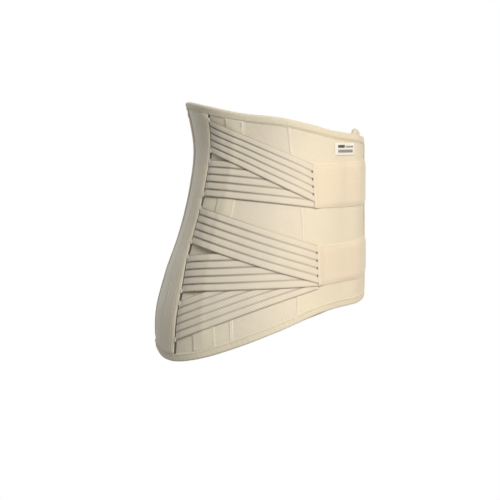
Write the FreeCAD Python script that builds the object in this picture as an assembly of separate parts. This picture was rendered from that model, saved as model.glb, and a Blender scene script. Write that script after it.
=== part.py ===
import FreeCAD, Part
import math
import os

# Lumbar support belt, as worn. Millimetres, +X to the wearer's left, -Y to the front, +Z up.
# The origin is the centre of the waist opening, at its narrowest level.
# Every layer follows one body surface. A place on it has an angle in degrees, from the middle of
# the back round the wearer's right side to the front, a height, and an offset outwards from the skin.

os.makedirs("parts", exist_ok=True)

# The body: height, half breadth, and depth behind the centre line.
BODY = [
    (-240, 171, 127.5),
    (-180, 167, 130.5),
    (-135, 157.5, 120.5),
    (-90, 147, 105),
    (-45, 136, 94.5),
    (0, 128, 89),
    (35, 131, 93),
    (75, 140, 104),
]
FRONT_DEPTH = 86
ROUNDNESS = 2.3

# Edges of the belt: angle from the middle of the back, and height.
TOP_EDGE = [(0, 60), (42, 57), (63, 49.5), (85, 38), (101, 33.5), (118, 26.5), (133, 22), (200, 22)]
BOTTOM_EDGE = [(0, -212), (30, -213), (45, -214.5), (58, -221.5), (68, -223), (80, -217.5),
               (92.5, -206), (107, -190), (122, -175), (135, -169.5), (152, -167), (200, -161)]

# Upright seams: height and angle.
STRAP_SEAM = [(-230, 67), (-190, 68.3), (-150, 68), (-100, 65), (-60, 65), (0, 65.3), (60, 67.5)]
SIDE_CHANNEL = [(-230, 77), (-200, 76.5), (-107, 74), (-63, 74.3), (0, 75), (60, 76.5)]
GUSSET_BACK = [(-230, 90), (-180, 90.5), (-61, 81.5), (32, 85), (60, 86)]
GUSSET_FRONT = [(-230, 114), (-87, 113.5), (-5, 106), (24, 105), (60, 104)]

# The hinge of a front panel is a straight line over the soft side, given by its two ends.
HINGE_TOP = (116.5, 25)
HINGE_BOTTOM = (124, -172)
HINGE_STAND_OFF = 7
HINGE_GAP = 0.25

# Front panels pass each other at the front. The right one lies outside.
FLAP_END = 194.5
FLAP_LIFT = 6
LIFT_START = 153
LIFT_END = 164.5
CORNER_RADIUS = 16
FRONT_MM_PER_DEGREE = 1.55
DEGREES_PER_COLUMN = 3
LEFT_FLAP_RISE = 5

# Layers, as offsets from the skin.
LINING = (0, 0.8)
INSERT = (1.05, 2.15)
FRONT_FOAM = (0.95, 1.45)
FRONT_STAY = (1.6, 2.2)
SHELL = (2.4, 3.4)
CHANNEL_TAPE = (3.65, 4.1)
ANCHOR_TAPE = (3.6, 5.1)
STRAP_LAYERS = {"under": 4.25, "middle": 5.6, "over": 6.95}
STRAP_THICKNESS = 1.2
HOOK_UNDER_TAB = (3.7, 4.7)
TAB = (4.85, 6.45)
LOOP_PATCH = (3.5, 4.2)
HOOK_STRIP = (-1.3, -0.15)
LABEL = (3.6, 4.0)

SEAM_GAP = 0.12
EDGE_INSET = 1.6
BINDING_REACH = 9
BINDING_THICKNESS = 0.6

# Inserts.
BACK_STAY_ARCS = {"inner": 21, "outer": 62}
BACK_STAY_WIDTH = 10
SIDE_STAY_WIDTH = 12
FRONT_STAY_WIDTH = 12
STAY_END_GAP = 14
CHANNEL_WIDTH = 17
PAD_ARC = 46
PAD_BOTTOM = -92
PAD_TOP = 24
PAD_THICKNESS = 5

# Straps: top height at the back seam and at the front seam, height difference down to the
# lower edge at each end, and layer.
STRAPS = {
    1: (35, -16, 37, 40, "middle"),
    2: (-10, -22, 40, 40, "under"),
    3: (-61, -101.5, 39.5, 40, "over"),
    4: (-113, -105.5, 39, 39, "middle"),
    5: (-161, -112, 40.5, 39.5, "under"),
}

# Tension tabs: heights of the top and bottom edges at the seam and at the tip.
TABS = {
    "upper": ((-15.5, -62.5), (-3, -55)),
    "lower": ((-102, -144), (-90.5, -134)),
}
TAB_END = {"right": 191.5, "left": 160}
TAB_HINGE_OFFSET = 8

SIDES = {"right": 1, "left": -1}


def smooth(rows, x, column=1):
    """A smooth curve through the rows, which are sorted by their first value."""
    last = len(rows) - 1
    x = min(max(x, rows[0][0]), rows[last][0])
    i = 0
    while i < last - 1 and x > rows[i + 1][0]:
        i += 1

    def slope(k):
        a = max(k - 1, 0)
        b = min(k + 1, last)
        return (rows[b][column] - rows[a][column]) / (rows[b][0] - rows[a][0])

    span = rows[i + 1][0] - rows[i][0]
    t = (x - rows[i][0]) / span
    start = rows[i][column]
    end = rows[i + 1][column]
    blend = t * t * (3 - 2 * t)
    curl = t * (1 - t) * ((1 - t) * slope(i) - t * slope(i + 1)) * span
    return start + (end - start) * blend + curl


def ease(x, start, end):
    """0 before start, 1 after end, and a smooth step between."""
    t = min(max((x - start) / (end - start), 0), 1)
    return t * t * (3 - 2 * t)


def skin(angle, z):
    """The point of the body at an angle and a height."""
    half_breadth = smooth(BODY, z, 1)
    behind = smooth(BODY, z, 2)
    half_depth = (behind + FRONT_DEPTH) / 2
    a = math.radians(angle)
    across = abs(math.sin(a) / half_breadth) ** ROUNDNESS
    along = abs(math.cos(a) / half_depth) ** ROUNDNESS
    r = (across + along) ** (-1 / ROUNDNESS)
    y = (behind - FRONT_DEPTH) / 2 + r * math.cos(a)
    return FreeCAD.Vector(-r * math.sin(a), y, z)


def outward(angle, z):
    """The body's outward normal."""
    round_body = skin(angle + 0.1, z) - skin(angle - 0.1, z)
    up_body = skin(angle, z + 0.5) - skin(angle, z - 0.5)
    n = round_body.cross(up_body)
    return n.normalize()


def place(angle, z, offset=0.0):
    return skin(angle, z) + outward(angle, z) * offset


def arc_to_angle(arc, z):
    """The angle that lies an arc length from the middle of the back, at a height."""
    step = 0.5
    angle = 0.0
    walked = 0.0
    here = skin(0, z)
    while walked < arc:
        angle += step
        there = skin(angle, z)
        walked += (there - here).Length
        here = there
    return angle - (walked - arc) / FRONT_MM_PER_DEGREE


def top_edge(angle):
    return smooth(TOP_EDGE, abs(angle))


def bottom_edge(angle):
    return smooth(BOTTOM_EDGE, abs(angle))


def hinge_rows():
    """Height and angle of the seam that lies straight under the front panel's hinge axis."""
    top = place(*HINGE_TOP, HINGE_STAND_OFF)
    bottom = place(*HINGE_BOTTOM, HINGE_STAND_OFF)
    rows = []
    for z in range(-240, 81, 40):
        on_axis = top + (bottom - top) * ((z - top.z) / (bottom.z - top.z))
        low = 90.0
        high = 150.0
        for _ in range(30):
            middle = (low + high) / 2
            forward = skin(middle + 0.1, z) - skin(middle - 0.1, z)
            if (on_axis - skin(middle, z)).dot(forward) > 0:
                low = middle
            else:
                high = middle
        rows.append((z, (low + high) / 2))
    return rows


HINGE_SEAM = hinge_rows()


def hinge_angle(z):
    return smooth(HINGE_SEAM, z)


def lift(angle):
    """How far the outer front panel stands off to pass over the inner one."""
    return FLAP_LIFT * ease(angle, LIFT_START, LIFT_END)


def no_lift(angle):
    return 0.0


def rise(side, angle):
    """The inner front panel is wrapped a little higher than the outer one."""
    if side == "right":
        return 0.0
    return LEFT_FLAP_RISE * ease(angle, 125, 165)


def solid_of(faces, name):
    shell = Part.makeShell(faces)
    shell.sewShape()
    solid = Part.makeSolid(shell)
    if solid.Volume < 0:
        solid.reverse()
    if not solid.isValid():
        print("not valid:", name)
    return solid


def spline_face(grid):
    surface = Part.BSplineSurface()
    surface.interpolate(grid)
    return surface


def border(surface):
    """The four edge curves of a spline surface, in a fixed order."""
    u0, u1, v0, v1 = surface.bounds()
    return [surface.uIso(u0), surface.vIso(v1), surface.uIso(u1), surface.vIso(v0)]


def shares(columns, corner):
    """Where a patch's columns lie, from 0 to 1. They close up over a round corner, whose share
    of the width is given."""
    flat = 1 - corner
    places = [flat * i / (columns - 1) for i in range(columns)]
    if corner > 0:
        places += [flat + corner * math.sin(math.radians(18 * k)) for k in range(1, 6)]
    return places


def patch(name, side, back, front, bottom, top, inner, outer, rows=17, corner=0, extra=no_lift):
    """A layer between four edges. back and front give an angle from a height, and bottom and
    top a height from an angle. inner and outer are offsets, plain or worked out at a place."""
    sign = SIDES[side]
    columns = max(4, round((front(0) - back(0)) / DEGREES_PER_COLUMN))

    def spot(s, t):
        angle = (back(0) + front(0)) / 2
        z = 0.0
        for _ in range(8):
            z = bottom(angle) + t * (top(angle) - bottom(angle))
            angle = back(z) + s * (front(z) - back(z))
        return angle, z

    surfaces = []
    for offset in (inner, outer):
        grid = []
        for s in shares(columns, corner):
            line = []
            for j in range(rows):
                angle, z = spot(s, j / (rows - 1))
                depth = offset(angle, z) if callable(offset) else offset
                line.append(place(sign * angle, z, depth + extra(angle)))
            grid.append(line)
        surfaces.append(spline_face(grid))
    faces = [surface.toShape() for surface in surfaces]
    for low, high in zip(border(surfaces[0]), border(surfaces[1])):
        faces.append(Part.makeRuledSurface(low.toShape(), high.toShape()))
    return solid_of(faces, name)


def edging(name, path, section, extra=no_lift, sign=1):
    """A folded tape along a path of angles and heights. The section is a closed list of
    offsets outwards and distances in from the edge."""
    centres = []
    for angle, z in path:
        centres.append(place(sign * angle, z, extra(angle)))
    rails = [[] for _ in section]
    last = len(path) - 1
    for k, (angle, z) in enumerate(path):
        along = centres[min(k + 1, last)] - centres[max(k - 1, 0)]
        out = outward(sign * angle, z)
        inwards = along.cross(out) * sign
        inwards.normalize()
        out = inwards.cross(along) * sign
        out.normalize()
        for rail, (offset, reach) in zip(rails, section):
            rail.append(centres[k] + out * offset + inwards * reach)
    curves = []
    for rail in rails:
        curve = Part.BSplineCurve()
        curve.interpolate(rail)
        curves.append(curve.toShape())
    faces = []
    for k, curve in enumerate(curves):
        faces.append(Part.makeRuledSurface(curve, curves[(k + 1) % len(curves)]))
    for end in (0, last):
        ring = [rail[end] for rail in rails]
        faces.append(Part.Face(Part.makePolygon(ring + ring[:1])))
    return solid_of(faces, name)


def binding_section():
    """The tape folded over a raw edge: down the inside, round the edge, and down the outside."""
    clear = 0.3
    inside = LINING[0] - clear - BINDING_THICKNESS
    outside = SHELL[1] + clear + BINDING_THICKNESS
    return [
        (inside, BINDING_REACH), (inside, 0), (outside, 0), (outside, BINDING_REACH),
        (SHELL[1] + clear, BINDING_REACH), (SHELL[1] + clear, BINDING_THICKNESS),
        (LINING[0] - clear, BINDING_THICKNESS), (LINING[0] - clear, BINDING_REACH),
    ]


def save(node, shape):
    shape.exportStep("parts/" + node + ".step")


def between(seam, step):
    """A seam as a function of height, moved along by a few millimetres."""
    return lambda z: smooth(seam, z) + math.degrees(step / 130)


def strip(arc_centre, width):
    """Back and front edges of an upright strip at an arc length from the middle of the back."""
    heights = range(-240, 81, 40)
    backs = [(z, arc_to_angle(abs(arc_centre) - width / 2, z)) for z in heights]
    fronts = [(z, arc_to_angle(abs(arc_centre) + width / 2, z)) for z in heights]
    return (lambda z: smooth(backs, z)), (lambda z: smooth(fronts, z))


# ---------------------------------------------------------------- the back and its inserts

def inner_top(angle):
    return top_edge(angle) - EDGE_INSET


def inner_bottom(angle):
    return bottom_edge(angle) + EDGE_INSET


def pad_bulge(angle, z):
    """The lining bulges towards the spine over the lumbar pad."""
    across = 1 - ease(abs(angle), 18, 36)
    up = ease(z, PAD_BOTTOM - 12, PAD_BOTTOM + 14) * (1 - ease(z, PAD_TOP - 14, PAD_TOP + 12))
    return PAD_THICKNESS * across * up


def make_back():
    seam_right = between(STRAP_SEAM, -SEAM_GAP)

    def seam_left(z):
        return -seam_right(z)

    edges = (seam_left, seam_right, inner_bottom, inner_top)
    save("back_panel", patch("back_panel", "right", *edges, *SHELL))
    save("back_lining", patch(
        "back_lining", "right", *edges,
        lambda angle, z: LINING[0] - pad_bulge(angle, z),
        lambda angle, z: LINING[1] - pad_bulge(angle, z), rows=30))
    pad_back, pad_front = strip(PAD_ARC, 0.1)
    save("lumbar_pad", patch(
        "lumbar_pad", "right", lambda z: -pad_back(z), pad_front,
        lambda angle: PAD_BOTTOM, lambda angle: PAD_TOP,
        lambda angle, z: LINING[1] + 0.4 - pad_bulge(angle, z), INSERT[0] - 0.15))


def make_back_stays():
    for side in SIDES:
        for place_name, arc in BACK_STAY_ARCS.items():
            back, front = strip(arc, BACK_STAY_WIDTH)
            save("back_stay_" + place_name + "_" + side, patch(
                "back_stay", side, back, front,
                lambda angle: bottom_edge(angle) + STAY_END_GAP,
                lambda angle: top_edge(angle) - STAY_END_GAP, *INSERT))
            back, front = strip(arc, CHANNEL_WIDTH)
            save("stay_channel_" + place_name + "_" + side, patch(
                "stay_channel", side, back, front,
                lambda angle: bottom_edge(angle) + BINDING_REACH + 0.5,
                lambda angle: top_edge(angle) - BINDING_REACH - 0.5, *CHANNEL_TAPE))


# ---------------------------------------------------------------- the sides

def make_side(side):
    gap = SEAM_GAP
    before_hinge = (lambda z: hinge_angle(z) - HINGE_GAP)
    seams = {
        "side_panel": (between(STRAP_SEAM, gap), between(GUSSET_BACK, -gap)),
        "side_gusset": (between(GUSSET_BACK, gap), between(GUSSET_FRONT, -gap)),
        "side_front_panel": (between(GUSSET_FRONT, gap), before_hinge),
    }
    for node, (back, front) in seams.items():
        save(node + "_" + side, patch(
            node, side, back, front, inner_bottom, inner_top, *SHELL))
    save("side_lining_" + side, patch(
        "side_lining", side, between(STRAP_SEAM, gap), before_hinge, inner_bottom, inner_top,
        *LINING))
    channel_front = between(SIDE_CHANNEL, 20)
    channel_back = between(SIDE_CHANNEL, 0)
    margin = (20 - SIDE_STAY_WIDTH) / 2
    save("side_stay_" + side, patch(
        "side_stay", side, between(SIDE_CHANNEL, margin), between(SIDE_CHANNEL, 20 - margin),
        lambda angle: bottom_edge(angle) + STAY_END_GAP,
        lambda angle: top_edge(angle) - STAY_END_GAP, *INSERT))
    save("side_stay_channel_" + side, patch(
        "side_stay_channel", side, channel_back, channel_front,
        lambda angle: bottom_edge(angle) + BINDING_REACH + 0.5,
        lambda angle: top_edge(angle) - BINDING_REACH - 0.5, *CHANNEL_TAPE))
    save("strap_anchor_tape_" + side, patch(
        "strap_anchor_tape", side, between(STRAP_SEAM, -22), between(STRAP_SEAM, -0.4),
        lambda angle: bottom_edge(angle) + BINDING_REACH + 0.5,
        lambda angle: top_edge(angle) - BINDING_REACH - 0.5, *ANCHOR_TAPE))


def strap_edge(back_z, front_z):
    """A strap's edge runs straight when the belt is seen from the side."""
    y_back = skin(smooth(STRAP_SEAM, back_z), back_z).y
    y_front = skin(hinge_angle(front_z), front_z).y

    def height(angle):
        z = back_z
        for _ in range(4):
            share = (y_back - skin(angle, z).y) / (y_back - y_front)
            z = back_z + (front_z - back_z) * share
        return z

    return height


def make_straps(side):
    for number, (back_top, front_top, back_drop, front_drop, layer) in STRAPS.items():
        bottom = strap_edge(back_top - back_drop, front_top - front_drop)
        top = strap_edge(back_top, front_top)
        inner = STRAP_LAYERS[layer]
        save("strap_" + str(number) + "_" + side, patch(
            "strap", side, between(STRAP_SEAM, 0.4), lambda z: hinge_angle(z) - 2 * HINGE_GAP,
            bottom, top, inner, inner + STRAP_THICKNESS, rows=5))


def make_back_bindings():
    end = hinge_angle(top_edge(118)) - HINGE_GAP
    path = [(end * k / 16, top_edge(end * k / 16)) for k in range(-16, 17)]
    save("top_binding", edging("top_binding", path, binding_section()))
    end = hinge_angle(bottom_edge(123)) - HINGE_GAP
    path = [(end * k / 24, bottom_edge(end * k / 24)) for k in range(24, -25, -1)]
    save("bottom_binding", edging("bottom_binding", path, binding_section()))


# ---------------------------------------------------------------- the front panels

def rounding(angle, radius, end):
    """How much a free corner's round takes off the height of the end of a front panel."""
    reach = radius / FRONT_MM_PER_DEGREE
    q = min(max((angle - end + reach) / reach, 0), 1)
    return radius * (1 - math.sqrt(1 - q * q))


def make_front(side):
    stand_off = lift if side == "right" else no_lift
    after_hinge = (lambda z: hinge_angle(z) + HINGE_GAP)

    def outline_top(angle):
        return top_edge(angle) + rise(side, angle)

    def panel_edges(inset):
        end = FLAP_END - inset / FRONT_MM_PER_DEGREE
        radius = CORNER_RADIUS - inset

        def top(angle):
            return outline_top(angle) - inset - rounding(angle, radius, end)

        def bottom(angle):
            return bottom_edge(angle) + inset + rounding(angle, radius, end)

        return after_hinge, (lambda z: end), bottom, top

    layers = {"front_panel_": SHELL, "front_foam_": FRONT_FOAM, "front_lining_": LINING}
    for node, (inner, outer) in layers.items():
        inset = EDGE_INSET if node != "front_foam_" else BINDING_REACH + 3
        save(node + side, patch(
            node, side, *panel_edges(inset), inner, outer, corner=0.12, extra=stand_off))
    save("front_edge_binding_" + side, make_front_binding(side, outline_top, stand_off))


def make_front_binding(side, outline_top, stand_off):
    """One tape along the top edge, round the free end, and back along the bottom edge."""
    reach = CORNER_RADIUS / FRONT_MM_PER_DEGREE
    turn = FLAP_END - reach
    path = []
    start = hinge_angle(top_edge(118)) + HINGE_GAP
    for k in range(15):
        angle = start + (turn - start) * k / 15
        path.append((angle, outline_top(angle)))
    for k in range(7):
        a = math.radians(15 * k)
        angle = turn + reach * math.sin(a)
        path.append((angle, outline_top(angle) - CORNER_RADIUS * (1 - math.cos(a))))
    high = path[-1][1]
    low = bottom_edge(FLAP_END) + CORNER_RADIUS
    for k in range(1, 8):
        path.append((FLAP_END, high + (low - high) * k / 8))
    for k in range(7):
        a = math.radians(90 - 15 * k)
        angle = turn + reach * math.sin(a)
        path.append((angle, bottom_edge(angle) + CORNER_RADIUS * (1 - math.cos(a))))
    start = hinge_angle(bottom_edge(123)) + HINGE_GAP
    for k in range(14, -1, -1):
        angle = start + (turn - start) * k / 15
        path.append((angle, bottom_edge(angle)))
    return edging("front_edge_binding", path, binding_section(), stand_off, SIDES[side])


def make_front_inserts(side):
    stand_off = lift if side == "right" else no_lift
    half = FRONT_STAY_WIDTH / 2 / FRONT_MM_PER_DEGREE
    save("front_stay_" + side, patch(
        "front_stay", side, lambda z: 142 - half, lambda z: 142 + half,
        lambda angle: bottom_edge(angle) + STAY_END_GAP,
        lambda angle: top_edge(angle) - STAY_END_GAP,
        *FRONT_STAY, extra=stand_off))


def make_closure():
    """Hook strip inside the end of the right front panel, and the loop panel that it grips."""
    margin = BINDING_REACH + 2

    def low(angle):
        return bottom_edge(angle) + margin

    def high(angle):
        return top_edge(angle) - margin

    save("closure_hook_strip", patch(
        "closure_hook_strip", "right", lambda z: 171, lambda z: FLAP_END - 7, low, high,
        *HOOK_STRIP, extra=lift))
    save("closure_loop_panel", patch(
        "closure_loop_panel", "left", lambda z: 164, lambda z: FLAP_END - 7, low, high,
        *LOOP_PATCH))


def make_tabs(side):
    stand_off = lift if side == "right" else no_lift
    end = TAB_END[side]
    for name, ((seam_top, seam_bottom), (tip_top, tip_bottom)) in TABS.items():
        start = hinge_angle((seam_top + seam_bottom) / 2)

        def height(at_seam, at_tip, inset):
            def z(angle):
                share = (angle - start) / (TAB_END["right"] - start)
                return at_seam + (at_tip - at_seam) * share + inset
            return z

        def tab_edges(inset, tip_inset):
            stop = end - tip_inset / FRONT_MM_PER_DEGREE
            radius = 7.0

            def top(angle):
                return height(seam_top, tip_top, -inset)(angle) - rounding(angle, radius, stop)

            def bottom(angle):
                return height(seam_bottom, tip_bottom, inset)(angle) + rounding(angle, radius, stop)

            return (lambda z: hinge_angle(z) + 0.6 + inset / 2), (lambda z: stop), bottom, top

        node = side + "_" + name + "_tab"
        corner = 4 / (end - start)
        save(node, patch(
            node, side, *tab_edges(0, 0), *TAB, rows=6, corner=corner, extra=stand_off))
        save(node + "_hook", patch(
            node + "_hook", side, *tab_edges(3, 9), *HOOK_UNDER_TAB, rows=6, corner=corner,
            extra=stand_off))


def make_label():
    save("woven_label", patch(
        "woven_label", "right", lambda z: 131, lambda z: 156.5,
        lambda angle: -6.2 + (angle - 131) * 0.12, lambda angle: 9 + (angle - 131) * 0.12,
        *LABEL, rows=5, extra=lift))


make_back()
make_back_stays()
make_back_bindings()
make_closure()
make_label()
for each_side in SIDES:
    make_side(each_side)
    make_straps(each_side)
    make_front(each_side)
    make_front_inserts(each_side)
    make_tabs(each_side)
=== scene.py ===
import bmesh
import bpy
import math
import numpy as np
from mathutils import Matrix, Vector


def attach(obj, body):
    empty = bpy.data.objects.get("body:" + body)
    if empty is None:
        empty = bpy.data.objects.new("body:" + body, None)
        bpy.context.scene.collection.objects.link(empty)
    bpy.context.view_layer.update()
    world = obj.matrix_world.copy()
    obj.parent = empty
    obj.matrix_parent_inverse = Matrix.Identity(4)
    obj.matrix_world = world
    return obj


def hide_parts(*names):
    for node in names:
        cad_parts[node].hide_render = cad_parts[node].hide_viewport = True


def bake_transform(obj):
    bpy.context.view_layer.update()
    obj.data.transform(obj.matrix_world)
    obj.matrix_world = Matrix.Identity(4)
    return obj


# Lumbar support belt as worn. Lengths are in millimetres, and mesh_of() turns them into metres.
# A place on the belt is an angle from the middle of the back round the wearer's right side, a
# height, and an offset outwards from the skin. The left side is the same with the angle's sign
# turned. The studio and the camera are in metres.

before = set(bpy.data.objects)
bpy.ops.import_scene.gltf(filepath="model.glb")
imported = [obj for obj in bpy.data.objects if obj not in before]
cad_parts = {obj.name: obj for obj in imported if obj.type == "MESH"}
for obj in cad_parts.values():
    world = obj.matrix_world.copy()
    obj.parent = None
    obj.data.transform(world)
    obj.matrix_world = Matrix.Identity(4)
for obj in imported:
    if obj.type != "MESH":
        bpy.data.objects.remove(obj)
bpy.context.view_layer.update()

# ---------------------------------------------------------------- driving dimensions

# The body: height, half breadth, and depth behind the centre line.
BODY = [
    (-240, 171, 127.5),
    (-180, 167, 130.5),
    (-135, 157.5, 120.5),
    (-90, 147, 105),
    (-45, 136, 94.5),
    (0, 128, 89),
    (35, 131, 93),
    (75, 140, 104),
]
FRONT_DEPTH = 86
ROUNDNESS = 2.3

# Edges of the belt: angle and height. Seams: height and angle.
TOP_EDGE = [(0, 60), (42, 57), (63, 49.5), (85, 38), (101, 33.5), (118, 26.5), (133, 22), (200, 22)]
BOTTOM_EDGE = [(0, -212), (30, -213), (45, -214.5), (58, -221.5), (68, -223), (80, -217.5),
               (92.5, -206), (107, -190), (122, -175), (135, -169.5), (152, -167), (200, -161)]
STRAP_SEAM = [(-230, 67), (-190, 68.3), (-150, 68), (-100, 65), (-60, 65), (0, 65.3), (60, 67.5)]
SIDE_CHANNEL = [(-230, 77), (-200, 76.5), (-107, 74), (-63, 74.3), (0, 75), (60, 76.5)]
GUSSET_BACK = [(-230, 90), (-180, 90.5), (-61, 81.5), (32, 85), (60, 86)]
GUSSET_FRONT = [(-230, 114), (-87, 113.5), (-5, 106), (24, 105), (60, 104)]
# The front panels' hinge line: angle and height of its ends, how far it stands off the skin,
# and how many degrees of cloth bend on each side of it.
HINGE_TOP = (116.5, 25)
HINGE_BOTTOM = (124, -172)
HINGE_STAND_OFF = 7
BLEND_DEGREES = 6.5

FLAP_END = 194.5
FLAP_LIFT = 6
LIFT_START = 141
LIFT_END = 164.5
CORNER_RADIUS = 16
FRONT_MM_PER_DEGREE = 1.55
LEFT_FLAP_RISE = 8

# Layers, as offsets outwards from the skin. Pairs are a layer's inside and outside.
LINING = (0.0, 0.8)
FOAM = (0.9, 1.55)
SHELL = (2.4, 3.4)
FLATLOCK = (3.2, 3.6)
SEWN_UNDER = 3.45
SIDE_CHANNEL_TOP = 3.95
# Height of the strip of painted shade along the strap seam.
SEAM_SHADE_TOP = 4.0
CHANNEL_TOP = 4.2
STRAP_UNDER = 4.15
TACK_LEVEL = 4.6
HOOK = (-1.3, -0.15)
LOOP = (3.45, 4.2)
LABEL = (3.45, 4.0)
LABEL_BARS = (3.8, 4.12)
TAB_HOOK = (3.7, 4.35)

EDGE_INSET = 1.6
BINDING_REACH = 9
CLOSURE_START = {"right": 171, "left": 164}
BACK_STAY_ARCS = (21, 62)
CHANNEL_WIDTH = 17
SIDE_CHANNEL_WIDTH = 20
PAD_BOTTOM = -92
PAD_TOP = 24
PAD_THICKNESS = 5
PAD_HALF_WIDTH = 45.0

STRAP_WIDTH = 40
RIBS = 5
RIB_PITCH = STRAP_WIDTH / RIBS

# Straps: top height at the back seam and at the front seam, width at each end, and how far
# the strap stands off the shell where it crosses the others.
STRAPS = {
    1: (35, -16, 37, 40, 1.7),
    2: (-10, -22, 40, 40, 0.0),
    3: (-61, -101.5, 39.5, 40, 3.3),
    4: (-113, -105.5, 39, 39, 1.7),
    5: (-161, -112, 40.5, 35.5, 0.0),
}
# The lowest strap's uv starts further along, so the painted shade in its grooves fades out sooner.
WEAVE_START = {5: 62}
# Tabs: top and bottom heights at the sewn end, and where the outer panel's tab ends.
TABS = {
    "upper": ((-15.5, -62.5), (-3, -55)),
    "lower": ((-102, -144), (-90.5, -134)),
}
TAB_END = {"right": 191.5, "left": 160}
SIDES = {"right": 1, "left": -1}

# Turns millimetres along the sides into degrees.
SIDE_RADIUS = 130
QUARTER_TURN = math.pi / 2


# ---------------------------------------------------------------- the body surface

def smooth(rows, x, column=1):
    """A smooth curve through the rows, which are sorted by their first value."""
    rows = np.asarray(rows, float)
    knots, values = rows[:, 0], rows[:, column]
    x = np.clip(x, knots[0], knots[-1])
    i = np.clip(np.searchsorted(knots, x, side="left") - 1, 0, len(knots) - 2)
    before = np.maximum(np.arange(len(knots)) - 1, 0)
    after = np.minimum(np.arange(len(knots)) + 1, len(knots) - 1)
    slopes = (values[after] - values[before]) / (knots[after] - knots[before])
    span = knots[i + 1] - knots[i]
    t = (x - knots[i]) / span
    blend = t * t * (3 - 2 * t)
    curl = t * (1 - t) * ((1 - t) * slopes[i] - t * slopes[i + 1]) * span
    return values[i] + (values[i + 1] - values[i]) * blend + curl


def ease(x, start, end):
    """0 before start, 1 after end, and a smooth step between."""
    t = np.clip((np.asarray(x, float) - start) / (end - start), 0, 1)
    return t * t * (3 - 2 * t)


def skin(angle, z):
    """Points of the body at angles and heights."""
    angle, z = np.broadcast_arrays(np.asarray(angle, float), np.asarray(z, float))
    half_breadth = smooth(BODY, z, 1)
    behind = smooth(BODY, z, 2)
    half_depth = (behind + FRONT_DEPTH) / 2
    a = np.radians(angle)
    across = np.abs(np.sin(a) / half_breadth) ** ROUNDNESS
    along = np.abs(np.cos(a) / half_depth) ** ROUNDNESS
    r = (across + along) ** (-1 / ROUNDNESS)
    y = (behind - FRONT_DEPTH) / 2 + r * np.cos(a)
    return np.stack([-r * np.sin(a), y, z], -1)


def unit(v):
    return v / np.maximum(np.linalg.norm(v, axis=-1, keepdims=True), 1e-9)


def outward(angle, z):
    """The body's outward normals."""
    round_body = skin(angle + 0.1, z) - skin(angle - 0.1, z)
    up_body = skin(angle, z + 0.5) - skin(angle, z - 0.5)
    return unit(np.cross(round_body, up_body))


def ripple(angle, z):
    """The small unevenness that cloth has even where it is stretched over a body."""
    slow = np.sin(angle * 0.13 + z * 0.021 + 0.6) * np.sin(z * 0.047 - angle * 0.05)
    quick = np.sin(angle * 0.41 - z * 0.083) * np.sin(z * 0.118 + angle * 0.19 + 1.3)
    return 0.16 * slow + 0.07 * quick


def place(angle, z, offset):
    """Points of the worn cloth at angles, heights and offsets outwards."""
    angle, z = np.broadcast_arrays(np.asarray(angle, float), np.asarray(z, float))
    depth = np.asarray(offset, float) + ripple(angle, z)
    return skin(angle, z) + outward(angle, z) * depth[..., None]


def running(points):
    """Distance walked along the first axis of an array of points."""
    steps = np.linalg.norm(np.diff(points, axis=0), axis=-1)
    return np.concatenate([0 * steps[:1], np.cumsum(steps, axis=0)])


# Arc length from the middle of the back, for each of these heights and angles.
ARC_ANGLES = np.arange(0, 201, 1.0)
ARC_HEIGHTS = np.arange(-240, 81, 20.0)
ARCS = [running(skin(ARC_ANGLES, z)) for z in ARC_HEIGHTS]


def between_heights(look_up, value, z):
    """What look_up finds for a value in the table's rows just below and above z, mixed."""
    value, z = np.broadcast_arrays(np.asarray(value, float), np.asarray(z, float))
    found = np.array([look_up(np.abs(value), row) for row in ARCS])
    row_place = (z - ARC_HEIGHTS[0]) / (ARC_HEIGHTS[1] - ARC_HEIGHTS[0])
    row_place = np.clip(row_place, 0, len(ARC_HEIGHTS) - 1.001)
    low = row_place.astype(int)
    below = np.take_along_axis(found, low[None], 0)[0]
    above = np.take_along_axis(found, low[None] + 1, 0)[0]
    return below + (above - below) * (row_place - low)


def angle_at(arc, z):
    """The angle that lies an arc length from the middle of the back."""
    return np.sign(arc) * between_heights(lambda v, row: np.interp(v, row, ARC_ANGLES), arc, z)


def arc_of(angle, z):
    """Arc length from the middle of the back to an angle."""
    return between_heights(lambda v, row: np.interp(v, ARC_ANGLES, row), angle, z)


def hinge_rows():
    """Height and angle of the seam straight under the front panel's hinge line."""
    top = skin(*HINGE_TOP) + outward(*HINGE_TOP) * HINGE_STAND_OFF
    bottom = skin(*HINGE_BOTTOM) + outward(*HINGE_BOTTOM) * HINGE_STAND_OFF
    rows = []
    for z in range(-240, 81, 40):
        on_axis = top + (bottom - top) * ((z - top[2]) / (bottom[2] - top[2]))
        angles = np.linspace(90, 150, 1201)
        ahead = skin(angles + 0.1, z) - skin(angles - 0.1, z)
        short = ((on_axis - skin(angles, z)) * ahead).sum(-1)
        rows.append((z, float(np.interp(0, -short, angles))))
    return rows


HINGE_SEAM = hinge_rows()


def top_edge(angle):
    return smooth(TOP_EDGE, np.abs(angle))


def bottom_edge(angle):
    return smooth(BOTTOM_EDGE, np.abs(angle))


def hinge_angle(z):
    return smooth(HINGE_SEAM, z)


def seam(rows, step=0.0):
    """A seam as a function of height, moved along by some millimetres."""
    return lambda z: smooth(rows, z) + math.degrees(step / SIDE_RADIUS)


def lift(angle):
    """The outer front panel stands off to pass over the inner one."""
    return FLAP_LIFT * ease(angle, LIFT_START, LIFT_END)


def no_lift(angle):
    return 0.0 * np.asarray(angle, float)


STAND_OFF = {"right": lift, "left": no_lift}


def rise(side, angle):
    """The inner front panel is wrapped a little higher."""
    return (0.0 if side == "right" else LEFT_FLAP_RISE) * ease(angle, 125, 165)


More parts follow.
